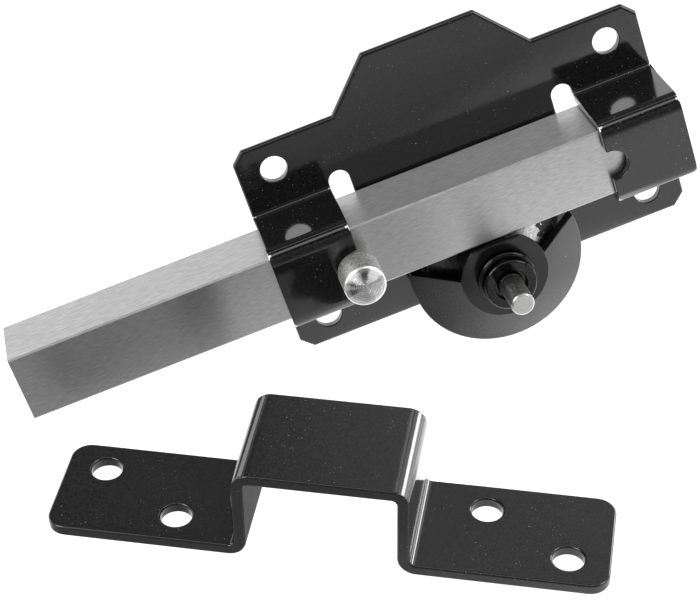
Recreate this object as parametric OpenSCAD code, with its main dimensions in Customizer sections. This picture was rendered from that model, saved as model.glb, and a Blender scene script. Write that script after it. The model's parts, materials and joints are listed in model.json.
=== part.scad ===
// Long-throw gate lock: a square bolt sliding in two pressed straps, a key-turned cam
// that drops into the bolt to deadlock it, a through-gate key cylinder, and a loose keep.
// Drawn lying on the gate: x runs along the bolt, y up the plate, z out of the gate face.
// The last step stands it up, so that the gate face is the XZ plane and the front looks to -Y.

/* [Backplate] */
// Length of the plate along the bolt
plate_w = 150; // [140:2:180]
// Height of the plate's body
plate_h = 83; // [80:1:100]
// Rise of the crown above the plate's body
crown_h = 18; // [8:1:30]
// Width of the crown along its top edge
crown_top_w = 41.5; // [20:0.5:60]
// Width of the crown where it leaves the plate's body
crown_foot_w = 74; // [64:1:76]
// Sheet thickness of the plate and its straps
sheet_t = 3; // [2:0.5:4]
// Size of the cut across each corner of the plate
corner_cut = 4.3; // [1:0.1:8]
// Distance between screw holes along the bolt
screw_dx = 124; // [116:1:132]
// Distance between screw holes up the plate
screw_dy = 62; // [58:1:64]
// Diameter of the screw holes
screw_hole_d = 9.6; // [6:0.2:12]

/* [Straps] */
// Width of each strap along the bolt
strap_w = 29.3; // [24:0.1:32]
// Width of the relief slot beside each strap
slot_w = 7.6; // [5:0.2:9]
// How far a relief slot runs past the strap's foot
slot_run = 5.5; // [4:0.5:8]
// Inside radius of the strap's shoulders
strap_bend_r = 2.5; // [1:0.5:3]
// Inside radius of the strap's feet
foot_bend_r = 1.6; // [0.8:0.2:2.4]
// Gap between the bolt and a strap's sides
side_play = 0.6; // [0.3:0.1:1.2]
// Gap between the bolt and a strap's front
front_play = 0.8; // [0.4:0.1:1.5]
// Half width of the notch that takes the knob's neck
notch_r = 5.5; // [4.5:0.1:7]
// Depth of that notch from the strap's edge
notch_depth = 6.6; // [5:0.1:9]

/* [Bolt] */
// Side of the square bolt
bolt_side = 25; // [20:1:28]
// Size of the cut along each long edge of the bolt
bolt_edge = 0.6; // [0.6:0.1:1.2]
// Gap between the plate and the back of the bolt
bolt_gap = 1.2; // [0.6:0.2:2]
// Distance of the thrown bolt's nose from the plate's middle
bolt_nose = 170; // [150:1:200]
// Distance of the thrown bolt's tail from the plate's middle
bolt_tail = 72; // [66:1:80]

/* [Knob] */
// Diameter of the knob's head
knob_d = 14.6; // [12:0.2:20]
// Length of the knob's head
knob_len = 12.8; // [8:0.2:20]
// Gap between the strap and the knob's head
knob_lift = 3; // [1:0.5:6]
// Diameter of the knob's neck
neck_d = 8; // [6:0.5:8.5]
// Depth of the neck in the bolt
neck_depth = 12; // [8:1:16]
// Gap left between the neck and the end of its notch
stop_gap = 0.3; // [0.1:0.1:1]

/* [Cam] */
// Drop of the cam's axis below the bolt's middle
cam_drop = 26; // [25:0.5:28]
// Diameter of the cam disc
cam_d = 62.4; // [58:0.4:66]
// Thickness of the cam disc
cam_t = 5; // [3:0.5:6]
// Height of the cam disc's middle above the bolt's middle
cam_offset = 0.8; // [-1:0.1:1]
// Rise of each edge of the cam's vee, in degrees
vee_angle = 34; // [28:1:40]
// Depth of the vee below the cam's axis
vee_depth = 13.4; // [12:0.2:16]
// Turn of the vee about the cam's axis, in degrees
vee_turn = 2.4; // [-4:0.2:4]
// Shift of the vee along the bolt
vee_shift = 2.8; // [-4:0.1:4]
// Clearance of the cam in the bolt's pocket
cam_play = 0.5; // [0.3:0.1:1]
// Diameter of the hub's core
core_d = 26.4; // [22:0.4:28]
// Diameter of the hub's flange
flange_d = 31.4; // [30:0.2:36]
// Thickness of the hub's flange
flange_t = 1.8; // [1.2:0.2:3]
// Gap between the hub's flange and the bolt's front
lap_gap = 0.4; // [0.3:0.1:1]
// Gap between the flange's flat and the bolt's lower side
flat_gap = 0.5; // [0.3:0.1:2]

/* [Collar and spindle] */
// Diameter of the collar's foot
collar_foot_d = 20.4; // [18:0.2:24]
// Height of the collar's foot
collar_foot_h = 3; // [2:0.2:4]
// Diameter of the collar's head
collar_d = 18.8; // [16:0.2:22]
// Height of the whole collar
collar_h = 7.6; // [6:0.2:12]
// Width of the clip groove between foot and head
groove_w = 1.2; // [1:0.1:1.6]
// Depth of the clip groove
groove_depth = 1.2; // [0.8:0.1:2]
// Diameter of the recess round the spindle
recess_d = 11.6; // [10:0.2:14]
// Depth of that recess
recess_depth = 1.6; // [0.5:0.1:3]
// Diameter of the drive spindle's free end
spindle_d = 8.3; // [7:0.1:8.8]
// Diameter of the drive spindle inside the collar, hub and bush
journal_d = 9; // [9:0.1:9.6]
// Length of spindle standing out of the collar
spindle_out = 15; // [8:0.5:25]
// Length of spindle behind the gate face
spindle_back = 12; // [10:0.5:16]
// Length of the slot in the spindle's back end
spindle_slot = 6.5; // [5:0.5:6.5]
// Radial clearance of every turning or seated round fit
run_gap = 0.05; // [0.02:0.01:0.1]

/* [Bush and washer] */
// Diameter of the spindle bush
bush_d = 16; // [14:0.5:18]
// Length of the bush behind the gate face
bush_back = 3; // [1:0.5:5]
// Diameter of the thrust washer
washer_d = 48; // [40:1:54]
// Thickness of the thrust washer
washer_t = 1.2; // [0.8:0.1:2]
// End clearance of whatever turns against a fixed face
thrust_gap = 0.3; // [0.3:0.1:0.5]

/* [Key cylinder] */
// Length of the tube through the gate
tube_len = 47; // [40:1:70]
// Outside diameter of the tube
tube_d = 38; // [37:0.5:42]
// Wall of the tube
tube_wall = 2; // [1.5:0.1:2.2]
// Depth of the tube's seat in the back of the plate
tube_seat = 0.6; // [0.3:0.1:1]
// Diameter of the rear rose
rose_d = 54; // [48:1:58]
// Thickness of the rear rose
rose_t = 2.5; // [2:0.5:4]
// Diameter of the cylinder's rim
rim_d = 39; // [38:0.5:44]
// Thickness of the cylinder's rim
rim_t = 3; // [2:0.5:5]
// Gap between the cylinder's body and its tube
body_gap = 0.2; // [0.1:0.1:0.4]
// Length of the cylinder's body inside the tube
body_len = 24; // [24:1:26]
// Diameter of the plug
plug_d = 13; // [12.6:0.1:13.4]
// Diameter of the plug's rim
plug_rim_d = 15.6; // [15:0.2:17]
// Thickness of the plug's rim
plug_rim_t = 1.6; // [1:0.1:2]
// Length of the plug's tail behind the cylinder's body
plug_tail = 4; // [3:0.5:5]
// Width of the keyway
keyway_w = 2.4; // [2:0.2:3]
// Height of the keyway
keyway_h = 8; // [7:0.2:9]
// Number of pin chambers
pin_count = 5; // [3:1:5]
// Distance between pin chambers
pin_pitch = 4.2; // [4:0.1:4.4]
// Diameter of the pins
pin_d = 2.7; // [2.4:0.1:2.9]
// Length of a driver pin
driver_len = 3; // [2.4:0.2:3.4]
// Thickness of the strip that closes the pin chambers
cover_t = 1.2; // [0.8:0.1:1.6]
// Thickness of the tail bar
tail_t = 1.6; // [1.2:0.1:2]
// Width of the tail bar
tail_w = 6.4; // [5:0.2:7]
// Diameter of the tie screws
tie_d = 4; // [3:0.5:4]
// Distance of each tie screw from the cylinder's axis
tie_r = 12.4; // [12:0.1:12.6]

/* [Keep] */
// Length of the keep
keep_len = 182; // [176:1:220]
// Width of the keep's strip
keep_w = 40; // [36:1:60]
// Thickness of the keep's strip
keep_t = 4; // [3:0.5:5]
// Outside width of the keep's arch
arch_w = 56.6; // [50:0.2:60]
// Outside height of the keep's arch
arch_h = 35; // [32:1:50]
// Inside radius of the keep's bends
keep_bend_r = 2; // [1:0.5:4]
// Radius of the keep's corners
keep_corner_r = 6.5; // [2:0.5:10]
// Diameter of the keep's screw holes
keep_hole_d = 10.2; // [6:0.2:12]
// Distance of the inner holes from the arch's middle
keep_hole_in = 49.6; // [44:0.2:56]
// Distance of the outer holes from the arch's middle
keep_hole_out = 77.4; // [70:0.2:82]
// Offset of the holes either side of the strip's middle
keep_hole_off = 8.9; // [4:0.1:12]

/* [Hidden] */
$fn = 64;

// Where the keep lies beside the lock, and how the lock is tipped against it
keep_at = [-86.7, -98.8, -48.7];
keep_turn = [4.4, 17.8, -22.4];

// Cuts run this far past the face that they open
cut = 1;

// Heights above the gate face
bolt_back = sheet_t + bolt_gap;
bolt_mid = bolt_back + bolt_side / 2;
bolt_front = bolt_back + bolt_side;
strap_front = bolt_front + front_play + sheet_t;
cam_mid = bolt_mid + cam_offset;
cam_back = cam_mid - cam_t / 2;
cam_front = cam_mid + cam_t / 2;
washer_front = cam_back - thrust_gap;
washer_back = washer_front - washer_t;
flange_back = bolt_front + lap_gap;
flange_front = flange_back + flange_t;
collar_front = flange_front + collar_h;
spindle_tip = collar_front + spindle_out;

// Straps and slots, measured from the plate's middle
strap_edge = plate_w / 2 - strap_w;
strap_in = bolt_side / 2 + side_play;
strap_out = strap_in + sheet_t;
shoulder_r = strap_bend_r + sheet_t;
slot_half = strap_out + slot_run;
notch_end = strap_edge + notch_depth;

// The neck stops against a notch at each end of its travel
knob_x = notch_end - neck_d / 2 - stop_gap;
travel = 2 * knob_x;
knob_base = strap_front + knob_lift;

// Cam, hub and the pocket that the cam turns into
cam_r = cam_d / 2;
pocket_r = cam_r + cam_play;
flat_y = cam_drop - bolt_side / 2 - flat_gap;

// Cylinder, measured from its axis and from the gate face backwards
body_r = tube_d / 2 - tube_wall - body_gap;
rose_back = -tube_len;
rim_back = rose_back - rose_t;
plug_front = rim_back - rim_t - 0.4;
body_in = rim_back + body_len;
plug_in = body_in + plug_tail;
chamber_r = pin_d / 2 + run_gap;
shear_r = plug_d / 2 + run_gap;
driver_foot = plug_d / 2 + thrust_gap;
cover_seat = body_r - 2 * cover_t;
first_pin = rim_back + (body_len - (pin_count - 1) * pin_pitch) / 2;
ear_r = tube_d / 2 + sheet_t;
clip_t = 0.8;
clip_groove_r = journal_d / 2 - 0.7;
spindle_clip_z = -bush_back - thrust_gap - clip_t;
plug_boss_r = plug_d / 2 - 1.2;

// Stands the lock up against the gate
module upright() {
    rotate([90, 0, 0]) children();
}

// Moves to the axis of the cam, spindle and cylinder
module on_axis() {
    translate([0, -cam_drop, 0]) children();
}

module at_each_pin() {
    for (i = [0 : pin_count - 1])
        translate([0, 0, first_pin + i * pin_pitch]) rotate([-90, 0, 0]) children();
}

// Flat outline of the plate, with cut corners, crown and the ear behind the cam
module plate_outline() {
    w = plate_w / 2;
    h = plate_h / 2;
    c = corner_cut;
    polygon([
        [-w, -h + c], [-w + c, -h], [w - c, -h], [w, -h + c],
        [w, h - c], [w - c, h], [crown_foot_w / 2, h], [crown_top_w / 2, h + crown_h],
        [-crown_top_w / 2, h + crown_h], [-crown_foot_w / 2, h], [-w + c, h], [-w, h - c]
    ]);
    translate([0, -cam_drop]) circle(r = ear_r);
}

module relief_slot() {
    x = strap_edge - slot_w / 2;
    end = slot_half - slot_w / 2;
    translate([x - slot_w / 2, -end]) square([slot_w, 2 * end]);
    for (y = [-end, end])
        translate([x, y]) circle(d = slot_w);
}

// The windows that the two straps were pressed out of
module strap_windows() {
    half = strap_out + foot_bend_r;
    for (side = [0, 1])
        mirror([side, 0]) translate([strap_edge, -half]) square([strap_w + cut, 2 * half]);
}

// Section across a strap: y to the right, z up
module strap_section() {
    foot = strap_out + foot_bend_r;
    shoulder_y = strap_out - shoulder_r;
    shoulder_z = strap_front - shoulder_r;
    back_r = foot_bend_r + sheet_t;
    difference() {
        union() {
            translate([-foot, 0]) square([2 * foot, sheet_t + foot_bend_r]);
            translate([-strap_out, 0]) square([2 * strap_out, shoulder_z]);
            translate([-shoulder_y, 0]) square([2 * shoulder_y, strap_front]);
            for (s = [-1, 1])
                translate([s * shoulder_y, shoulder_z]) circle(r = shoulder_r);
        }
        for (s = [-1, 1])
            translate([s * foot, sheet_t + foot_bend_r]) circle(r = foot_bend_r);
        translate([-strap_in, back_r]) square([2 * strap_in, shoulder_z - back_r]);
        translate([-shoulder_y, back_r - cut])
            square([2 * shoulder_y, strap_front - sheet_t - back_r + cut]);
        for (s = [-1, 1])
            translate([s * shoulder_y, shoulder_z]) circle(r = strap_bend_r);
        difference() {
            translate([-foot, -cut]) square([2 * foot, back_r + cut]);
            for (s = [-1, 1])
                translate([s * foot, back_r]) circle(r = back_r);
        }
    }
}

module strap() {
    difference() {
        translate([strap_edge, 0, 0]) rotate([90, 0, 90])
            linear_extrude(height = strap_w) strap_section();
        translate([notch_end - notch_r, 0, strap_front - sheet_t - cut]) {
            cylinder(r = notch_r, h = sheet_t + 2 * cut);
            translate([-notch_r - cut, -notch_r, 0])
                cube([notch_r + cut, 2 * notch_r, sheet_t + 2 * cut]);
        }
    }
}

module backplate() {
    color([0.06, 0.06, 0.065]) upright() {
        difference() {
            linear_extrude(height = sheet_t) difference() {
                plate_outline();
                strap_windows();
                for (side = [0, 1])
                    mirror([side, 0]) relief_slot();
                for (x = [-1, 1], y = [-1, 1])
                    translate([x * screw_dx / 2, y * screw_dy / 2]) circle(d = screw_hole_d);
                translate([0, -cam_drop]) circle(d = bush_d + 2 * run_gap);
                for (s = [-1, 1])
                    translate([s * tie_r, -cam_drop]) circle(d = tie_d + 2 * run_gap);
            }
            on_axis() translate([0, 0, -cut])
                cylinder(d = tube_d + 2 * run_gap, h = cut + tube_seat);
        }
        for (side = [0, 1])
            mirror([side, 0, 0]) strap();
    }
}

// Square bar with a hole for the knob's neck and a pocket for the cam at each end of its travel
module bolt_bar() {
    s = bolt_side / 2;
    f = s - bolt_edge;
    color([0.62, 0.62, 0.61]) upright() difference() {
        translate([-bolt_nose, 0, bolt_mid]) rotate([90, 0, 90])
            linear_extrude(height = bolt_nose + bolt_tail)
                polygon([[-s, -f], [-f, -s], [f, -s], [s, -f], [s, f], [f, s], [-f, s], [-s, f]]);
        translate([-knob_x, 0, bolt_front - neck_depth])
            cylinder(d = neck_d + 2 * run_gap, h = neck_depth + cut);
        for (x = [0, -travel])
            translate([x, -cam_drop, cam_back - cam_play])
                cylinder(r = pocket_r, h = cam_t + 2 * cam_play);
    }
}

module knob_neck() {
    color([0.7, 0.7, 0.69]) upright()
        translate([-knob_x, 0, bolt_front - neck_depth])
            cylinder(d = neck_d, h = neck_depth + knob_base - bolt_front + knob_len * 0.6);
}

// Turned head with a broken edge at each end, bored to take the neck
module knob_head() {
    edge = 0.7;
    color([0.74, 0.74, 0.73]) upright() translate([-knob_x, 0, knob_base]) difference() {
        rotate_extrude() polygon([
            [0, 0], [knob_d / 2 - edge, 0], [knob_d / 2, edge],
            [knob_d / 2, knob_len - edge], [knob_d / 2 - edge, knob_len], [0, knob_len]
        ]);
        translate([0, 0, -cut])
            cylinder(d = neck_d + 2 * run_gap, h = knob_len * 0.6 + run_gap + cut);
    }
}

// Round disc with a wide vee cut away, so that the bolt is free while the vee faces it
module cam_disc() {
    rise = tan(vee_angle);
    reach = 2 * cam_d;
    color([0.08, 0.08, 0.085]) upright() on_axis() difference() {
        translate([0, 0, cam_back]) cylinder(d = cam_d, h = cam_t);
        translate([vee_shift, 0, cam_back - cut]) rotate([0, 0, vee_turn])
            linear_extrude(height = cam_t + 2 * cut)
                polygon([[0, -vee_depth], [reach, rise * reach - vee_depth],
                    [-reach, rise * reach - vee_depth]]);
        translate([0, 0, cam_back - cut]) cylinder(d = core_d + 2 * run_gap, h = cam_t + 2 * cut);
    }
}

// Core that carries the cam, with a flange whose flat clears the bolt
module cam_hub() {
    color([0.08, 0.08, 0.085]) upright() on_axis() difference() {
        union() {
            translate([0, 0, cam_back]) cylinder(d = core_d, h = flange_back - cam_back);
            difference() {
                translate([0, 0, flange_back]) cylinder(d = flange_d, h = flange_t);
                translate([-flange_d, flat_y, flange_back - cut])
                    cube([2 * flange_d, flange_d, flange_t + 2 * cut]);
            }
        }
        translate([0, 0, cam_back - cut])
            cylinder(d = journal_d + 2 * run_gap, h = flange_front - cam_back + 2 * cut);
        translate([-core_d, 0, cam_pin_z]) rotate([0, 90, 0])
            cylinder(d = cam_pin_d + 2 * run_gap, h = 2 * core_d);
    }
}
cam_pin_d = 3;
cam_pin_z = (cam_front + flange_back) / 2;

module cam_pin() {
    color([0.6, 0.6, 0.6]) upright() on_axis()
        translate([-core_d / 2 + 0.5, 0, cam_pin_z]) rotate([0, 90, 0])
            cylinder(d = cam_pin_d, h = core_d - 1);
}

// Stepped collar with a clip groove, dished round the spindle
module hub_collar() {
    foot_r = collar_foot_d / 2;
    head_r = collar_d / 2;
    head_z = collar_foot_h + groove_w;
    edge = 0.5;
    bore_r = journal_d / 2 + run_gap;
    color([0.07, 0.07, 0.075]) upright() on_axis() translate([0, 0, flange_front])
        rotate_extrude() polygon([
            [bore_r, 0], [foot_r, 0], [foot_r, collar_foot_h - edge],
            [foot_r - edge, collar_foot_h], [head_r - groove_depth, collar_foot_h],
            [head_r - groove_depth, head_z], [head_r, head_z],
            [head_r, collar_h - edge], [head_r - edge, collar_h],
            [recess_d / 2, collar_h], [recess_d / 2, collar_h - recess_depth],
            [bore_r, collar_h - recess_depth]
        ]);
}

// Open ring that snaps into the collar's groove
module collar_clip() {
    in_r = collar_d / 2 - groove_depth + run_gap;
    out_r = collar_d / 2 + 0.5;
    color([0.1, 0.1, 0.1]) upright() on_axis()
        translate([0, 0, flange_front + collar_foot_h + (groove_w - clip_t) / 2])
            difference() {
                cylinder(r = out_r, h = clip_t);
                translate([0, 0, -cut]) cylinder(r = in_r, h = clip_t + 2 * cut);
                translate([-1.5, -2 * out_r, -cut]) cube([3, 2 * out_r, clip_t + 2 * cut]);
            }
}

// Steel spindle from the cylinder's tail bar to its shoulder, level with the collar's front,
// and the free end in front of that
module drive_spindle() {
    edge = 0.6;
    r = journal_d / 2;
    end_r = spindle_d / 2;
    groove_z = spindle_clip_z - run_gap;
    color([0.72, 0.72, 0.71]) upright() on_axis() difference() {
        rotate_extrude() polygon([
            [0, -spindle_back], [r, -spindle_back], [r, groove_z],
            [clip_groove_r, groove_z], [clip_groove_r, groove_z + clip_t + 2 * run_gap],
            [r, groove_z + clip_t + 2 * run_gap], [r, collar_front],
            [end_r, collar_front], [end_r, spindle_tip - edge],
            [end_r - edge, spindle_tip], [0, spindle_tip]
        ]);
        translate([-tail_t / 2 - run_gap, -journal_d, -spindle_back - cut])
            cube([tail_t + 2 * run_gap, 2 * journal_d, spindle_slot + cut]);
        translate([-journal_d, 0, cam_pin_z]) rotate([0, 90, 0])
            cylinder(d = cam_pin_d + 2 * run_gap, h = 2 * journal_d);
    }
}

// Flanged sleeve pressed into the plate, in which the spindle turns
module spindle_bush() {
    color([0.68, 0.6, 0.4]) upright() on_axis() difference() {
        translate([0, 0, -bush_back]) cylinder(d = bush_d, h = bush_back + washer_back);
        translate([0, 0, -bush_back - cut])
            cylinder(d = journal_d + 2 * run_gap, h = bush_back + washer_back + 2 * cut);
    }
}

// Fixed washer behind the cam, with a flat that clears the bolt
module thrust_washer() {
    color([0.75, 0.75, 0.74]) upright() on_axis() difference() {
        translate([0, 0, washer_back]) cylinder(d = washer_d, h = washer_t);
        translate([-washer_d, flat_y, washer_back - cut])
            cube([2 * washer_d, washer_d, washer_t + 2 * cut]);
        translate([0, 0, washer_back - cut])
            cylinder(d = journal_d + 2 * run_gap, h = washer_t + 2 * cut);
    }
}

// Open ring that holds the spindle against the back of its bush
module spindle_clip() {
    in_r = clip_groove_r + run_gap;
    out_r = journal_d / 2 + 2;
    color([0.3, 0.3, 0.3]) upright() on_axis() translate([0, 0, spindle_clip_z]) difference() {
        cylinder(r = out_r, h = clip_t);
        translate([0, 0, -cut]) cylinder(r = in_r, h = clip_t + 2 * cut);
        translate([-1, -2 * out_r, -cut]) cube([2, 2 * out_r, clip_t + 2 * cut]);
    }
}

// Tube through the gate, let into the back of the plate
module housing_tube() {
    h = tube_len + tube_seat;
    color([0.09, 0.09, 0.09]) upright() on_axis() translate([0, 0, -tube_len]) difference() {
        cylinder(d = tube_d, h = h);
        translate([0, 0, -cut]) cylinder(d = tube_d - 2 * tube_wall, h = h + 2 * cut);
    }
}

// Dished disc that covers the hole on the far side of the gate
module rear_rose() {
    lip = 1.2;
    hole_r = body_r + body_gap;
    color([0.09, 0.09, 0.09]) upright() on_axis() translate([0, 0, rim_back])
        rotate_extrude() polygon([
            [hole_r, 0], [rose_d / 2 - 2, 0], [rose_d / 2, 1.2],
            [rose_d / 2, rose_t + lip], [rose_d / 2 - 1.4, rose_t + lip],
            [rose_d / 2 - 1.4, rose_t], [hole_r, rose_t]
        ]);
}

// Round body with pin chambers above the plug and a seat for the strip that closes them
module cylinder_body() {
    color([0.72, 0.6, 0.32]) upright() on_axis() difference() {
        union() {
            translate([0, 0, rim_back]) cylinder(r = body_r, h = body_len);
            translate([0, 0, rim_back - rim_t]) cylinder(d = rim_d, h = rim_t);
        }
        translate([0, 0, rim_back - rim_t - cut])
            cylinder(r = shear_r, h = body_len + rim_t + 2 * cut);
        translate([0, 0, plug_front - cut])
            cylinder(d = plug_rim_d + 2 * run_gap, h = cut + plug_rim_t + thrust_gap);
        at_each_pin() cylinder(r = chamber_r, h = cover_seat + cut);
        translate([-cover_w / 2 - run_gap, cover_seat, first_pin - cover_end - run_gap])
            cube([cover_w + 2 * run_gap, body_r,
                (pin_count - 1) * pin_pitch + 2 * cover_end + 2 * run_gap]);
        for (s = [-1, 1])
            translate([s * tie_r, 0, body_in - tie_grip])
                cylinder(d = tie_d + 2 * run_gap, h = tie_grip + cut);
    }
}
cover_w = pin_d + 1.4;
cover_end = pin_d / 2 + 0.8;
tie_grip = 10;

// Strip pressed in over the springs
module spring_cover() {
    color([0.72, 0.6, 0.32]) upright() on_axis()
        translate([-cover_w / 2, cover_seat + run_gap, first_pin - cover_end])
            cube([cover_w, cover_t, (pin_count - 1) * pin_pitch + 2 * cover_end]);
}

module pin_springs() {
    foot = driver_foot + driver_len + run_gap;
    color([0.6, 0.6, 0.6]) upright() on_axis() at_each_pin()
        translate([0, 0, foot]) difference() {
            cylinder(d = pin_d - 0.1, h = cover_seat - foot);
            translate([0, 0, -cut]) cylinder(d = pin_d - 0.9, h = cover_seat - foot + 2 * cut);
        }
}

module driver_pins() {
    color([0.72, 0.6, 0.32]) upright() on_axis() at_each_pin()
        translate([0, 0, driver_foot]) cylinder(d = pin_d, h = driver_len);
}

// Pins cut to differing lengths, all lifted to the shear line as a key holds them
module key_pins() {
    top = plug_d / 2 - 0.45;
    color([0.72, 0.6, 0.32]) upright() on_axis()
        for (i = [0 : pin_count - 1]) {
            len = 2.2 + 0.4 * ((i * 2) % 3);
            translate([0, 0, first_pin + i * pin_pitch]) rotate([-90, 0, 0])
                translate([0, 0, top - len]) cylinder(d = pin_d, h = len);
        }
}

// Plug with keyway, pin chambers, and a slotted boss for the tail bar
module cylinder_plug() {
    boss = plug_in - body_in;
    color([0.74, 0.63, 0.36]) upright() on_axis() difference() {
        union() {
            translate([0, 0, plug_front]) cylinder(d = plug_rim_d, h = plug_rim_t);
            translate([0, 0, plug_front]) cylinder(d = plug_d, h = body_in - plug_front);
            translate([0, 0, body_in]) cylinder(r = clip_seat_r, h = boss);
            translate([0, 0, body_in + plug_groove])
                cylinder(r = plug_boss_r, h = boss - plug_groove);
        }
        translate([-keyway_w / 2, -keyway_h / 2 - 1, plug_front - cut])
            cube([keyway_w, keyway_h, body_in - plug_front - 1 + cut]);
        at_each_pin() cylinder(r = chamber_r, h = plug_d);
        translate([-tail_t / 2 - run_gap, -tail_w / 2 - run_gap, plug_in - tail_seat])
            cube([tail_t + 2 * run_gap, tail_w + 2 * run_gap, tail_seat + cut]);
    }
}
plug_groove = clip_t + thrust_gap + run_gap;
clip_seat_r = plug_boss_r - 0.8;
tail_seat = 3;

// Open ring that keeps the plug in the body
module plug_clip() {
    in_r = clip_seat_r + run_gap;
    out_r = plug_d / 2 + 1.6;
    color([0.3, 0.3, 0.3]) upright() on_axis() translate([0, 0, body_in + thrust_gap]) difference() {
        cylinder(r = out_r, h = clip_t);
        translate([0, 0, -cut]) cylinder(r = in_r, h = clip_t + 2 * cut);
        translate([-1.2, -2 * out_r, -cut]) cube([2.4, 2 * out_r, clip_t + 2 * cut]);
    }
}

// Flat bar that carries the plug's turn to the spindle
module tail_bar() {
    foot = plug_in - tail_seat + run_gap;
    tip = -spindle_back + spindle_slot - 1;
    color([0.6, 0.6, 0.6]) upright() on_axis()
        translate([-tail_t / 2, -tail_w / 2, foot]) cube([tail_t, tail_w, tip - foot]);
}

// Two screws from the plate's front that pull the cylinder into its tube
module tie_screws() {
    head_d = 2 * tie_d - 1;
    color([0.6, 0.6, 0.6]) upright() on_axis() for (s = [-1, 1])
        translate([s * tie_r, 0, 0]) difference() {
            union() {
                translate([0, 0, body_in - tie_grip + 1])
                    cylinder(d = tie_d, h = sheet_t - body_in + tie_grip - 1);
                translate([0, 0, sheet_t]) cylinder(d = head_d, h = tie_head);
            }
            translate([-head_d, -0.5, sheet_t + tie_head - 1]) cube([2 * head_d, 1, 1 + cut]);
        }
}
tie_head = 2.4;

// Section along the keep: x along the strip, z up from what it is screwed to
module keep_section() {
    r_in = keep_bend_r;
    r_out = keep_bend_r + keep_t;
    half = arch_w / 2;
    foot = half + r_in;
    difference() {
        union() {
            translate([-keep_len / 2, 0]) square([keep_len, keep_t]);
            translate([-foot, 0]) square([2 * foot, r_out]);
            translate([-half, 0]) square([arch_w, arch_h - r_out]);
            translate([-half + r_out, 0]) square([arch_w - 2 * r_out, arch_h]);
            for (s = [-1, 1])
                translate([s * (half - r_out), arch_h - r_out]) circle(r = r_out);
        }
        for (s = [-1, 1])
            translate([s * foot, r_out]) circle(r = r_in);
        translate([-half + keep_t, r_out]) square([arch_w - 2 * keep_t, arch_h - 2 * r_out]);
        translate([-half + r_out, r_out - cut])
            square([arch_w - 2 * r_out, arch_h - keep_t - r_out + cut]);
        for (s = [-1, 1])
            translate([s * (half - r_out), arch_h - r_out]) circle(r = r_in);
        difference() {
            translate([-foot, -cut]) square([2 * foot, r_out + cut]);
            for (s = [-1, 1])
                translate([s * foot, r_out]) circle(r = r_out);
        }
    }
}

module keep_outline() {
    x = keep_len / 2;
    y = keep_w / 2;
    r = keep_corner_r;
    translate([-x + r, -y]) square([2 * (x - r), 2 * y]);
    translate([-x, -y + r]) square([2 * x, 2 * (y - r)]);
    for (sx = [-1, 1], sy = [-1, 1])
        translate([sx * (x - r), sy * (y - r)]) circle(r = r);
}

// Strip bent into an arch that the bolt shoots through, lying loose beside the lock
module keep() {
    color([0.06, 0.06, 0.065]) translate(keep_at) rotate(keep_turn) difference() {
        intersection() {
            translate([0, keep_w / 2, 0]) rotate([90, 0, 0])
                linear_extrude(height = keep_w) keep_section();
            linear_extrude(height = arch_h) keep_outline();
        }
        for (hole = [[-keep_hole_out, 1], [-keep_hole_in, -1], [keep_hole_in, 1], [keep_hole_out, -1]])
            translate([hole[0], hole[1] * keep_hole_off, -cut])
                cylinder(d = keep_hole_d, h = keep_t + 2 * cut);
    }
}

backplate();
housing_tube();
rear_rose();
cylinder_body();
spindle_bush();
thrust_washer();
tie_screws();
driver_pins();
pin_springs();
spring_cover();
bolt_bar();
knob_neck();
knob_head();
cam_disc();
cam_hub();
hub_collar();
collar_clip();
drive_spindle();
cam_pin();
spindle_clip();
tail_bar();
cylinder_plug();
plug_clip();
key_pins();
keep();
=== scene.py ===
import json
import math

import bmesh
import bpy
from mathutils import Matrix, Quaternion, Vector


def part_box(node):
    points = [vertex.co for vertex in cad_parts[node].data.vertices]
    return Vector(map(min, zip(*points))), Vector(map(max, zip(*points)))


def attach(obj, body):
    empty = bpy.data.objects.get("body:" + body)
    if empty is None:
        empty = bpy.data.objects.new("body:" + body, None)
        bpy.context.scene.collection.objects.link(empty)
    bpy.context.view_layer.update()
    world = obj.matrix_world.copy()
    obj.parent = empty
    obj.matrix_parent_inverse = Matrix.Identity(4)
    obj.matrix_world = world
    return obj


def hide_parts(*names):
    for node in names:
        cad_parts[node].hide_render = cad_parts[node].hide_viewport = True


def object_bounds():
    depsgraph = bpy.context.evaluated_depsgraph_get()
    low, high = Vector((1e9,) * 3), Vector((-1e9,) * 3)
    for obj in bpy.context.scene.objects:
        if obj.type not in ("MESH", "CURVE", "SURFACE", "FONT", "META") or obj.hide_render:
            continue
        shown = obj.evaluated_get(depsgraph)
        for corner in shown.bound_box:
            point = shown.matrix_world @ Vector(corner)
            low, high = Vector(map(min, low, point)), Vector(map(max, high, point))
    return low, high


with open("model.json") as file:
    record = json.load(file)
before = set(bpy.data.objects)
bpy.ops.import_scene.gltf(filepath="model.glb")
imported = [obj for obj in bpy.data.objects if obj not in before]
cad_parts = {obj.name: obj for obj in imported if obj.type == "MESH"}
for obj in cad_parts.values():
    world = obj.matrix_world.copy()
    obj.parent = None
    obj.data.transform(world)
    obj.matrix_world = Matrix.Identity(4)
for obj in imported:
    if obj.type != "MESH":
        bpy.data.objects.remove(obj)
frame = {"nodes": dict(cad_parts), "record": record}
cad = frame["nodes"]
body_of = {n: b for b, group in frame["record"]["behaviour"]["bodies"].items() for n in group}
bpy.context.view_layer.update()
MM = 0.001


# Backplate
# One pressed sheet of 3 mm steel with its straps raised over the bolt, stoved in gloss black.
# The paint holds white dust, and is rubbed through to bare steel where the straps' bends end.

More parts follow.
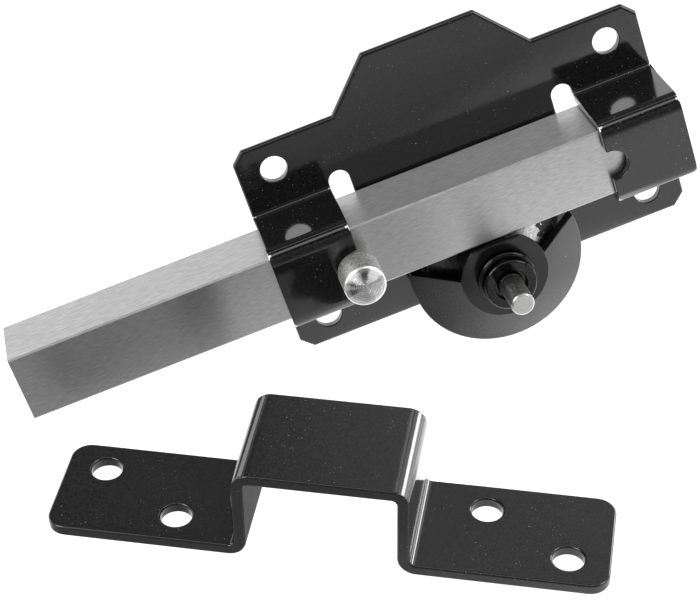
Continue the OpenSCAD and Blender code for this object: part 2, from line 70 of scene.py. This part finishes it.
class Wire:
    """A shader socket. Python's arithmetic on it adds Math nodes, and node() adds any other kind."""

    def __init__(self, tree, socket):
        self.tree = tree
        self.socket = socket

    def node(self, kind, settings, inputs, output=0):
        """Adds a node, gives it its settings, then the values or links of its sockets."""
        made = self.tree.nodes.new("ShaderNode" + kind)
        for name, value in settings.items():
            if name == "stops":
                ramp = made.color_ramp
                while len(ramp.elements) < len(value):
                    ramp.elements.new(0.5)
                for element, (place, level) in zip(ramp.elements, value):
                    element.position = place
                    element.color = (level, level, level, 1)
            else:
                setattr(made, name, value)
        for name, value in inputs.items():
            if isinstance(value, Wire):
                self.tree.links.new(value.socket, made.inputs[name])
            else:
                made.inputs[name].default_value = value
        return Wire(self.tree, made.outputs[output])

    def maths(self, operation, *values):
        return self.node("Math", {"operation": operation}, dict(enumerate(values)))

    def __add__(self, other):
        return self.maths("ADD", self, other)

    def __radd__(self, other):
        return self.maths("ADD", other, self)

    def __sub__(self, other):
        return self.maths("SUBTRACT", self, other)

    def __rsub__(self, other):
        return self.maths("SUBTRACT", other, self)

    def __mul__(self, other):
        return self.maths("MULTIPLY", self, other)

    def __rmul__(self, other):
        return self.maths("MULTIPLY", other, self)

    def __lt__(self, other):
        return self.maths("LESS_THAN", self, other)

    def __gt__(self, other):
        return self.maths("GREATER_THAN", self, other)

    def vector(self, operation, *values, output=0):
        """Vector Math. Output 1 holds the number that a length, distance or dot product gives."""
        return self.node("VectorMath", {"operation": operation}, dict(enumerate(values)), output)

    def scaled(self, factor):
        """This vector or colour times a number."""
        return self.node("VectorMath", {"operation": "SCALE"}, {0: self, "Scale": factor})

    def ramp(self, *stops):
        """This value read off a line through (place, level) stops."""
        return self.node("ValToRGB", {"stops": stops}, {"Fac": self})

    def blend(self, low, high):
        """Colour low where this value is 0, high where it is 1."""
        ends = {6: low if isinstance(low, Wire) else (*low, 1),
                7: high if isinstance(high, Wire) else (*high, 1)}
        return self.node("Mix", {"data_type": "RGBA"}, {0: self, **ends}, 2)

    def part(self, axis):
        """One of a place's three distances."""
        return self.node("SeparateXYZ", {}, {"Vector": self}, "XYZ".index(axis))


def finish(name, colour, roughness, **fixed):
    """A new material. Returns it, its shader, and the object's own coordinates as a Wire."""
    material = bpy.data.materials.new(name)
    material.use_nodes = True
    tree = material.node_tree
    shader = tree.nodes["Principled BSDF"]
    shader.inputs["Base Color"].default_value = (*colour, 1)
    shader.inputs["Roughness"].default_value = roughness
    for socket, value in fixed.items():
        shader.inputs[socket.replace("_", " ")].default_value = value
    place = tree.nodes.new("ShaderNodeTexCoord")
    return material, shader, Wire(tree, place.outputs["Object"])


def feed(shader, **wires):
    """Links each Wire to the shader's socket of that name."""
    for socket, wire in wires.items():
        wire.tree.links.new(wire.socket, shader.inputs[socket.replace("_", " ")])


def noise(place, per_metre, detail=3.0, closer=(1, 1, 1)):
    """Noise from 0 to 1 with that many waves in a metre, times closer along each axis."""
    moved = place.node("Mapping", {}, {"Vector": place, "Scale": closer})
    return place.node("TexNoise", {}, {"Vector": moved, "Scale": per_metre, "Detail": detail})


def relief(height, depth, under=None):
    """The surface's normal where a height from 0 to 1 stands depth metres proud."""
    below = {} if under is None else {"Normal": under}
    return height.node("Bump", {}, {"Height": height, "Distance": depth, **below})


def specks(place, spacing, radius, share):
    """1 on round specks: space is split into cells, and that share of them holds a speck."""
    cells = {"Vector": place, "Scale": 1 / spacing}
    distance = place.node("TexVoronoi", {}, cells, 0)
    tint = place.node("TexVoronoi", {}, cells, 1)
    drawn = place.node("SeparateColor", {}, {"Color": tint})
    return (distance < radius / spacing) * (drawn < share)


def worn_at(place, corners, radius):
    """1 near any of these places, with a ragged rim. It reads every place as if in one quarter."""
    folded = place.vector("ABSOLUTE", place)
    nearest = folded.vector("DISTANCE", folded, corners[0], output=1)
    for corner in corners[1:]:
        near = folded.vector("DISTANCE", folded, corner, output=1)
        nearest = nearest.maths("MINIMUM", nearest, near)
    return nearest < noise(place, per_metre=900) * radius * 2


def black_paint(name, gloss, bare=None):
    """Gloss black stove paint with a faint peel, smears, white dust, and bare steel where bare is 1."""
    black = (0.003, 0.003, 0.003)
    lighter_grain = (0.014, 0.014, 0.014)
    dust = (0.36, 0.36, 0.36)
    steel = (0.5, 0.5, 0.5)
    smeared = gloss + 0.07
    material, shader, place = finish(name, black, gloss, IOR=1.6)
    smears = noise(place, per_metre=45, detail=4.0).ramp((0.4, gloss), (0.75, smeared))
    grain = noise(place, per_metre=1300, detail=2.0).ramp((0.38, 0.0), (0.66, 1.0))
    grain = grain.blend(black, lighter_grain)
    coarse_dust = specks(place, spacing=4.2 * MM, radius=0.2 * MM, share=0.14)
    fine_dust = specks(place, spacing=1.3 * MM, radius=0.11 * MM, share=0.55)
    drifted = noise(place, per_metre=34) > 0.5
    colour = ((coarse_dust + fine_dust) * drifted).blend(grain, dust)
    if bare is not None:
        wear_and_painted_light = bare(place)
        colour = wear_and_painted_light.blend(colour, steel)
        feed(shader, Metallic=wear_and_painted_light)
    sag = relief(noise(place, per_metre=80, detail=2.0), depth=0.05 * MM)
    peel = relief(noise(place, per_metre=300, detail=1.0), depth=0.014 * MM, under=sag)
    feed(shader, Base_Color=colour, Roughness=smears, Normal=peel)
    return material


def eased(node, material, ease, rolled=None, roll=0.0):
    """A copy of a CAD node with its triangles joined into whole faces and its edges rounded by ease.

    Each edge that turns by more than SHARP is cut back by ease, or by roll where
    rolled(middle, length) is true, and filled with an arc.
    """
    widest = max(ease, roll)
    mesh = cad[node].data.copy()
    work = bmesh.new()
    work.from_mesh(mesh)
    bmesh.ops.remove_doubles(work, verts=work.verts, dist=SAME_SPOT)
    bmesh.ops.dissolve_limit(work, angle_limit=SAME_FACE, verts=work.verts, edges=work.edges)
    for face in work.faces:
        face.smooth = True
    share = work.edges.layers.float.new("bevel_weight_edge")
    for edge in work.edges:
        edge.smooth = edge.calc_face_angle(0) < SHARP
        if widest and not edge.smooth:
            middle = (edge.verts[0].co + edge.verts[1].co) / 2
            broad = rolled and rolled(middle, edge.calc_length())
            edge[share] = (roll if broad else ease) / widest
    work.to_mesh(mesh)
    work.free()
    mesh.materials.clear()
    mesh.materials.append(material)
    piece = bpy.data.objects.new(node + "_eased", mesh)
    bpy.context.scene.collection.objects.link(piece)
    if widest:
        rounding = piece.modifiers.new("rounding", "BEVEL")
        rounding.width = widest
        rounding.segments = 3 if widest < 1 * MM else 5
        rounding.limit_method = "WEIGHT"
        rounding.use_clamp_overlap = False
        rounding.harden_normals = True
    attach(piece, body_of[node])
    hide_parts(node)
    return piece


# What counts as an edge to round, as one flat face and as one corner
SHARP = math.radians(32)
SAME_FACE = math.radians(0.6)
SAME_SPOT = 0.001 * MM
plate_low, plate_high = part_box("backplate")
sheet = 3 * MM
strap_width = 29.3 * MM
strap_ends = (plate_high.x - strap_width, plate_high.x)

# The places where paint is rubbed off: (x, y, z) at the ends of the straps' bends, in one quarter
foot_bend = (2.6 * MM, 15.7 * MM)
shoulder_bend = (-plate_low.y - 2.0 * MM, 14.1 * MM)
bend_ends = [(x, *bend) for x in strap_ends for bend in (foot_bend, shoulder_bend)]
rubbed_radius = 1.3 * MM
plate_paint = black_paint("plate paint", 0.08, lambda place: worn_at(place, bend_ends, rubbed_radius))

above_slots = 22 * MM
shortest_side = 4 * MM


def on_outline(middle, length):
    """True on the sheet's straight outer sides, which the press rolled over."""
    return middle.y > -1.01 * sheet and abs(middle.z) > above_slots and length > shortest_side


eased("backplate", plate_paint, ease=0.4 * MM, rolled=on_outline, roll=1.35 * MM)


# Spindle bush and thrust washer
# A turned brass sleeve is pressed through the plate, and a bright zinc washer sits on its shoulder.
# The cam turns against the washer, which shows through the cam's vee.

def mottled(colour, pattern, strength):
    """A colour, lighter by half of strength where the pattern is 1 and darker where it is 0."""
    return colour.scaled(pattern * strength + (1 - strength / 2))


def turned(name, colour, roughness, centre, groove, depth, painted_shade_past=1.0, stained=0.55, unmarked_to=-1.0):
    """Metal left from the lathe: noise of distance from the axis through centre, and along it.

    Its stains darken it to the part stained, except where Y is under unmarked_to. Past the radius
    painted_shade_past it is black, as painted shade.
    """
    near_black = (0.02, 0.02, 0.02)
    smoothest = roughness - 0.05
    roughest = roughness + 0.08
    material, shader, place = finish(name, colour, roughness, Metallic=1.0)
    offset = place.vector("SUBTRACT", place, centre)
    x, y, z = (offset.part(axis) for axis in "XYZ")
    square = x * x + z * z
    radius = square.maths("SQRT", square)
    rings = place.node("CombineXYZ", {}, {0: radius, 1: y, 2: 0.0})
    cut = noise(rings, per_metre=1 / groove, detail=2.0)
    stains = noise(place, per_metre=1100, detail=4.0).ramp((0.4, 0.0), (0.7, 1.0))
    stains = stains * (place.part("Y") > unmarked_to)
    tone = stains.blend(colour, tuple(stained * c for c in colour))
    tone = mottled(tone, cut.ramp((0.35, 0.0), (0.65, 1.0)), strength=0.24)
    # Painted shade: black past the radius painted_shade_past.
    tone = (radius > painted_shade_past).blend(tone, near_black)
    feed(shader, Base_Color=tone, Normal=relief(cut, depth),
         Roughness=cut.ramp((0.3, smoothest), (0.7, roughest)))
    return material


def reopened(material):
    tree = material.node_tree
    place = tree.nodes["Texture Coordinate"].outputs["Object"]
    return tree.nodes["Principled BSDF"], Wire(tree, place)


def linked(shader, socket):
    """What is already linked to the shader's socket, as a Wire."""
    return Wire(shader.id_data, shader.inputs[socket].links[0].from_socket)


def darkened_outside(material, unmarked_from, unmarked_to):
    """Blackens a material outside unmarked_from to unmarked_to along X, with a ragged edge."""
    near_black = (0.012, 0.012, 0.012)
    rag = 16 * MM
    shader, place = reopened(material)
    ragged = place.part("X") + noise(place, per_metre=500) * rag - rag / 2
    black = ragged.maths("MAXIMUM", ragged < unmarked_from, ragged > unmarked_to)
    feed(shader, Base_Color=black.blend(linked(shader, "Base Color"), near_black), Metallic=1 - black)


cam_axis = Vector((0, 0, -26 * MM))
brass = turned("turned brass", (0.57, 0.42, 0.18), 0.3, cam_axis, groove=0.5 * MM, depth=0.004 * MM)
zinc = turned("zinc plate", (0.62, 0.62, 0.62), 0.25, cam_axis, groove=0.4 * MM, depth=0.004 * MM)
# The washer is coloured near black outside 4 to 18 mm along X.
darkened_outside(zinc, unmarked_from=4 * MM, unmarked_to=18 * MM)
eased("thrust_washer", zinc, ease=0.15 * MM)


# Cylinder, tube and rose
# A black tube passes through the gate to a dished black rose, and holds a brass pin cylinder.
# Its pins, springs, clips and tail bar are inside, so they keep their plain solids.

spring_steel = finish("spring steel", (0.33, 0.33, 0.34), 0.35, Metallic=1.0)[0]
plain_steel = finish("plain steel", (0.58, 0.58, 0.57), 0.3, Metallic=1.0)[0]
tube_paint = black_paint("tube paint", 0.12)
eased("housing_tube", tube_paint, ease=0.25 * MM)
eased("rear_rose", tube_paint, ease=0.35 * MM)
eased("cylinder_body", brass, ease=0.3 * MM)
eased("cylinder_plug", brass, ease=0.12 * MM)
kept_solids = {
    "spindle_bush": brass,
    "driver_pins": brass,
    "key_pins": brass,
    "spring_cover": brass,
    "pin_springs": spring_steel,
    "plug_clip": spring_steel,
    "spindle_clip": spring_steel,
    "tail_bar": spring_steel,
    "cam_pin": plain_steel,
    "tie_screws": plain_steel,
    "knob_neck": plain_steel,
}
for node, material in kept_solids.items():
    cad[node].data.materials.clear()
    cad[node].data.materials.append(material)


# Bolt
# A 25 mm square bar of mild steel, sawn to length and brushed along its length on all four sides.
# The brushing leaves long streaks, and handling leaves faint dull patches.

def brushed(name, colour, roughness, top, lighter):
    """Steel brushed along X, which spreads its shine across the furrows and keeps it sharp along them.

    Noise drawn out along X gives the streaks of colour and gloss and the furrows themselves.
    Above the height top the steel is rougher, and lighter in colour: painted light on its top face.
    """
    dulled_to = roughness + 0.06
    rougher_top = 0.15
    material, shader, place = finish(name, colour, roughness, Metallic=1.0, Anisotropic=0.9,
                                     Anisotropic_Rotation=0.25)
    streaks = noise(place, per_metre=2600, detail=4.0, closer=(0.12, 1, 1))
    furrows = noise(place, per_metre=3200, detail=2.0, closer=(0.02, 1, 1))
    patches = noise(place, per_metre=28, detail=3.0, closer=(0.5, 1, 1))
    painted_lit_top = place.part("Z") > top
    # Painted light: the top face takes the lighter colour.
    tone = mottled(painted_lit_top.blend(colour, lighter), streaks.ramp((0.3, 0.0), (0.7, 1.0)), strength=0.34)
    dull = patches.ramp((0.3, roughness), (0.75, dulled_to)) + painted_lit_top * rougher_top
    feed(shader, Base_Color=tone, Roughness=dull, Normal=relief(furrows, depth=0.008 * MM))
    return material


# The bolt's top face is coloured lighter than its other faces, as painted light.
bolt_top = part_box("bolt_bar")[1].z - 0.1 * MM
bolt_steel = brushed("brushed steel", (0.45, 0.45, 0.45), 0.27, bolt_top, lighter=(0.71, 0.71, 0.71))
bolt = eased("bolt_bar", bolt_steel, ease=0)

# A brushed shine takes its direction round the middle of the mesh's texture space. With that middle
# far off along Y, the direction is the same all over the bolt.
far_along_y = 100.0
bolt.data.use_auto_texspace = False
bolt.data.texspace_location = (0, far_along_y, 0)
bolt.data.texspace_size = (1, 1, 1)


# Knob
# A turned steel head on a neck screwed into the bolt. Its end is faced off, which leaves fine rings
# that tip its normal. The fan of light and dark sectors on it, and a lighter ring near its rim, are painted
# highlights and painted shade in its colour.

# Painted highlights and painted shade on the knob's end: each sector's angle and width, in degrees, and how
# much lighter (painted highlight) or darker (painted shade) it is
PAINTED_FAN_SECTORS = ((120, 26, 0.5), (39, 27, 0.55), (-30, 60, 0.2),
           (81, 24, -0.27), (144, 12, -0.2), (184, 15, -0.25), (12, 12, -0.15))


def faced(material, centre, end_y):
    """Faces off the end at end_y. A spot on it lies at radius from centre, towards (x, z) / radius.

    Noise stirs both a little. The grooves tip the normal outwards or inwards by a slope that is
    noise of the radius. The tone is a base, a sine of the radius for the rings, a painted highlight
    near the rim, and the sectors of painted highlight and painted shade: each counts where the way
    out is within its width of its angle, by their dot product.
    """
    base_tone = 0.36
    ring_tone = 0.07
    radians_per_metre = 8500
    steepest = 1.4
    stir = 2.4 * MM
    shader, place = reopened(material)
    swirl = place.node("TexNoise", {}, {"Vector": place, "Scale": 420.0, "Detail": 3.0}, 1)
    stirred = place.vector("MULTIPLY_ADD", swirl, [stir] * 3, place)
    offset = place.vector("SUBTRACT", stirred, centre + Vector([stir / 2] * 3))
    flat = place.vector("MULTIPLY", offset, (1, 0, 1))
    way_out = place.vector("NORMALIZE", flat)
    radius = place.vector("LENGTH", flat, output=1)

    turns = radius * radians_per_metre
    rings = turns.maths("SINE", turns) * ring_tone
    centimetres = radius * 100
    outer = centimetres.ramp((0.12, 0.25), (0.4, 1.0))
    # A painted highlight: lighter towards the rim.
    tone = base_tone + rings + centimetres.ramp((0.5, 0.0), (0.62, 0.25))
    # Sectors with a positive gain are painted highlights, those with a negative gain painted shade.
    for angle, width, gain in PAINTED_FAN_SECTORS:
        toward = (math.cos(math.radians(angle)), 0, math.sin(math.radians(angle)))
        facing = place.vector("DOT_PRODUCT", way_out, toward, output=1)
        edge = math.cos(math.radians(width))
        core = math.cos(math.radians(width / 2))
        sector = facing.ramp((edge, 0.0), (core, abs(gain))) * outer
        tone = tone + sector if gain > 0 else tone - sector
    grey = place.node("CombineXYZ", {}, {0: tone, 1: tone, 2: tone})

    across = place.node("CombineXYZ", {}, {0: radius, 1: 0.0, 2: 0.0})
    slope = noise(across, per_metre=12000, detail=1.0).ramp((0.3, 0.0), (0.7, 1.0))
    tilt = way_out.scaled(slope * (2 * steepest) - steepest)
    grooved = place.vector("NORMALIZE", place.vector("ADD", tilt, (0, -1, 0)))

    near_end = place.part("Y") < end_y + 0.3 * MM
    on_end = place.part("Y") < end_y + 0.02 * MM
    feed(shader, Base_Color=near_end.blend(linked(shader, "Base Color"), grey),
         Normal=on_end.blend(linked(shader, "Normal"), grooved))


knob_low, knob_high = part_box("knob_head")
knob_axis = (knob_low + knob_high) / 2
knob_steel = turned("turned steel", (0.95, 0.95, 0.94), 0.44, knob_axis, groove=0.9 * MM, depth=0.02 * MM)
faced(knob_steel, knob_axis, knob_low.y)
eased("knob_head", knob_steel, ease=0.14 * MM)


# Cam
# A pressed steel disc with a vee cut away, on a hub whose flange has a flat beside the bolt.
# Both are blacked rather than painted, and go grey and satin with handling. Their colour also grows lighter
# towards +X, which is painted light.

def blacked(name, colour, roughness, metal, painted_light_grey):
    """Blacked steel: dark, part metallic, blotched lighter by noise, lighter towards +X as painted light,
    and with a few specks.
    """
    dust = (0.5, 0.5, 0.5)
    painted_light_at_middle = 0.13
    painted_light_per_metre = 14
    material, shader, place = finish(name, colour, roughness, Metallic=metal)
    broad = noise(place, per_metre=70, detail=4.0) * 0.3
    fine = noise(place, per_metre=1300, detail=3.0) * 0.4
    # Blotches of wear from noise, plus painted light: the colour grows lighter towards +X.
    wear_and_painted_light = broad + fine + place.part("X") * painted_light_per_metre + painted_light_at_middle
    tone = wear_and_painted_light.ramp((0.0, 0.0), (1.0, 1.0)).blend(colour, painted_light_grey)
    dusty = specks(place, spacing=4 * MM, radius=0.15 * MM, share=0.12)
    grit = relief(noise(place, per_metre=1500, detail=2.0), depth=0.004 * MM)
    feed(shader, Base_Color=dusty.blend(tone, dust), Normal=grit)
    return material


disc_black = blacked("blacked disc", (0.02, 0.02, 0.02), 0.3, metal=0.8, painted_light_grey=(0.135, 0.135, 0.135))
hub_black = blacked("blacked hub", (0.008, 0.008, 0.008), 0.18, metal=0.3, painted_light_grey=(0.01, 0.01, 0.01))
eased("cam_disc", disc_black, ease=0.35 * MM)
eased("cam_hub", hub_black, ease=0.35 * MM)


# Collar and its clip
# A collar turned from steel and blacked, which stands in front of the hub and is dished round the
# spindle. A spring clip of the same finish snaps into its groove.

collar_black = turned("blacked collar", (0.03, 0.03, 0.03), 0.11, cam_axis,
                      groove=0.5 * MM, depth=0.004 * MM)
eased("hub_collar", collar_black, ease=0.22 * MM)
eased("collar_clip", hub_black, ease=0.12 * MM)


# Spindle
# Bright steel rod, turned, with its free end chamfered. It runs through the collar and the hub to
# the cylinder. Past the radius journal_from it is black: painted shade in the collar's recess.

journal_from = 4.18 * MM
spindle_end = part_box("drive_spindle")[0].y + 0.3 * MM
spindle_steel = turned("spindle steel", (0.43, 0.43, 0.42), 0.33, cam_axis,
                       groove=0.6 * MM, depth=0.02 * MM,
                       painted_shade_past=journal_from, stained=0.28, unmarked_to=spindle_end)
eased("drive_spindle", spindle_steel, ease=0.15 * MM)


# Keep
# A 40 by 4 mm strip bent into an arch and stoved black like the plate, with a rounder edge.
# The paint on the insides of its legs is dull.

def dulled(material, normal, reaches, rougher):
    """Roughens a material on the planes where place . normal is one of reaches."""
    tolerance = 0.3 * MM
    shader, place = reopened(material)
    roughness = linked(shader, "Roughness")
    along = place.vector("DOT_PRODUCT", place, normal, output=1)
    for reach in reaches:
        off = along - reach
        on_plane = off.maths("ABSOLUTE", off) < tolerance
        roughness = roughness + on_plane * rougher
    feed(shader, Roughness=roughness)


keep_paint = black_paint("keep paint", 0.09)

# The two faces that look at each other across the arch: their normal, and how far along it they lie
leg_normal = (0.88029, -0.36283, -0.3057)
leg_insides = (-49.886 * MM, -1.286 * MM)
dulled(keep_paint, leg_normal, leg_insides, rougher=0.6)
eased("keep", keep_paint, ease=0.8 * MM)


# Floor, light and camera
# A pale table under the lowest piece, which glows with light set in its emission colour: evenly where the
# lock lies, falling off in front of it.
# Round it are a bright wall low behind, a dim ceiling with two long strips of light, and three soft
# windows: low on the right behind, in front on the right, and high in front on the left.

table_half = 6.0
table_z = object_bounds()[0].z - 0.5 * MM
corners = [(x, y, table_z) for x, y in ((-table_half, -table_half), (table_half, -table_half),
                                        (table_half, table_half), (-table_half, table_half))]
table_mesh = bpy.data.meshes.new("table")
table_mesh.from_pydata(corners, [], [(0, 1, 2, 3)])
table = bpy.data.objects.new("table", table_mesh)
bpy.context.scene.collection.objects.link(table)
table_white, table_shader, spot = finish("table white", (0.2, 0.2, 0.2), 0.9, Emission_Strength=1.0)
table_mesh.materials.append(table_white)

# Light on the table, by distance in front of a line that passes before the keep
spot_x = spot.part("X")
spot_y = spot.part("Y")
ahead = spot_x * -0.534 + spot_y * -0.845 - 0.135
falloff = (ahead * 2 + 0.1).ramp(
    (0.1, 1.05), (0.14, 0.62), (0.2, 0.24), (0.32, 0.12), (0.5, 0.08), (0.9, 0.05))

# A band of glow further in front, from the plate's left end to the right
band = (-1 * spot_y).ramp((0.2, 0.0), (0.24, 0.3), (0.3, 0.56), (0.33, 0.56), (0.42, 0.03))
right_side = (spot_x + 0.5).ramp((0.4, 0.0), (0.435, 1.0))

# A pool of glow by the keep and a streak of glow that runs off to the right, which its right leg and bend
# mirror
pool_x = (spot_x + 0.5).ramp(
    (0.43, 0.0), (0.445, 0.8), (0.485, 0.8), (0.5, 1.5), (0.565, 1.5), (0.575, 0.0))
pool_y = (spot_y + 0.5).ramp((0.43, 0.0), (0.437, 1.0), (0.475, 1.0), (0.485, 0.0))
beside = spot_y - spot_x * 0.42 + 0.075
across_streak = (beside * 5 + 0.5).ramp((0.225, 0.0), (0.325, 1.0), (0.675, 1.0), (0.775, 0.0))
along_streak = (spot_x * 0.8).ramp(
    (0.08, 0.0), (0.096, 2.6), (0.122, 2.6), (0.15, 0.6), (0.36, 0.6), (0.48, 4.5), (0.76, 4.5), (1.0, 0.0))

lit = falloff.maths("MAXIMUM", falloff, band * right_side)
feed(table_shader, Emission_Color=lit + (pool_x * pool_y + across_streak * along_streak))

# Light from all round, by the direction it comes from: strongest behind, and dim overhead
world = bpy.data.worlds.new("studio")
bpy.context.scene.world = world
world.use_nodes = True
sky = world.node_tree.nodes["Background"]
way = Wire(world.node_tree, world.node_tree.nodes.new("ShaderNodeTexCoord").outputs["Generated"])
way_x, way_y, way_z = (way.part(axis) for axis in "XYZ")
height = (way_z * 0.5 + 0.5).ramp(
    (0.0, 0.6), (0.5, 1.25), (0.68, 1.4), (0.79, 1.9), (0.84, 0.5), (1.0, 0.35))
depth = (way_y * 0.5 + 0.5).ramp((0.0, 0.12), (0.5, 0.3), (0.75, 1.0), (1.0, 1.05))
side = (way_x * 0.5 + 0.5).ramp((0.4, 1.35), (0.5, 1.0), (0.57, 0.95), (1.0, 1.2))

# The ceiling alone is darker on the left
ceiling = (way_z * 2 - 1.2).ramp((0.0, 0.0), (0.2, 1.0))
across = (way_x * 0.5 + 0.5).ramp((0.5, 0.35), (0.61, 0.5), (0.675, 0.95), (0.72, 1.15), (1.0, 1.3))
glow = height * depth * side * (1 - ceiling + ceiling * across)

# Each window's direction, the cosine of its half width, and its strength, which it has in full over
# window_core of that, and which fades to its edge
WINDOWS = (
    ((0.914, 0.402, 0.05), 0.978, 12.0),
    ((0.83, -0.35, 0.43), 0.96, 4.0),
    ((-0.61, -0.46, 0.64), 0.945, 5.0),
)
window_core = 0.6
for window, edge, strength in WINDOWS:
    facing = way.vector("DOT_PRODUCT", way, window, output=1)
    glow = glow + facing.ramp((edge, 0.0), (1 - (1 - edge) * window_core, 1.0)) * strength

# The strips run along X, and are placed by the angle they lean forward from straight up
lean = way_y.maths("ARCTAN2", -1 * way_y, way_z)
strips = (lean * 0.5 + 0.5).ramp(
    (0.44, 0.0), (0.474, 2.2), (0.508, 0.0), (0.62, 0.0), (0.66, 2.4), (0.74, 2.4), (0.79, 0.0))
glow = glow + strips
world.node_tree.links.new(glow.socket, sky.inputs["Color"])

# The camera, fitted to the lock in the photograph
photo_place = Vector((-75.1, -651.9, 340.3)) * MM
photo_aim = Vector((-52.9, 0.0, -30.3)) * MM
photo_roll = math.radians(-20.31)
lens = bpy.data.cameras.new("photo camera")
lens.lens = 106.37
lens.sensor_width = 36
camera = bpy.data.objects.new("photo camera", lens)
camera.location = photo_place
camera.rotation_mode = "QUATERNION"
look = (photo_aim - photo_place).to_track_quat("-Z", "Y")
camera.rotation_quaternion = look @ Quaternion((0, 0, 1), photo_roll)
bpy.context.scene.collection.objects.link(camera)
bpy.context.scene.camera = camera
bpy.context.scene.view_settings.view_transform = "Standard"
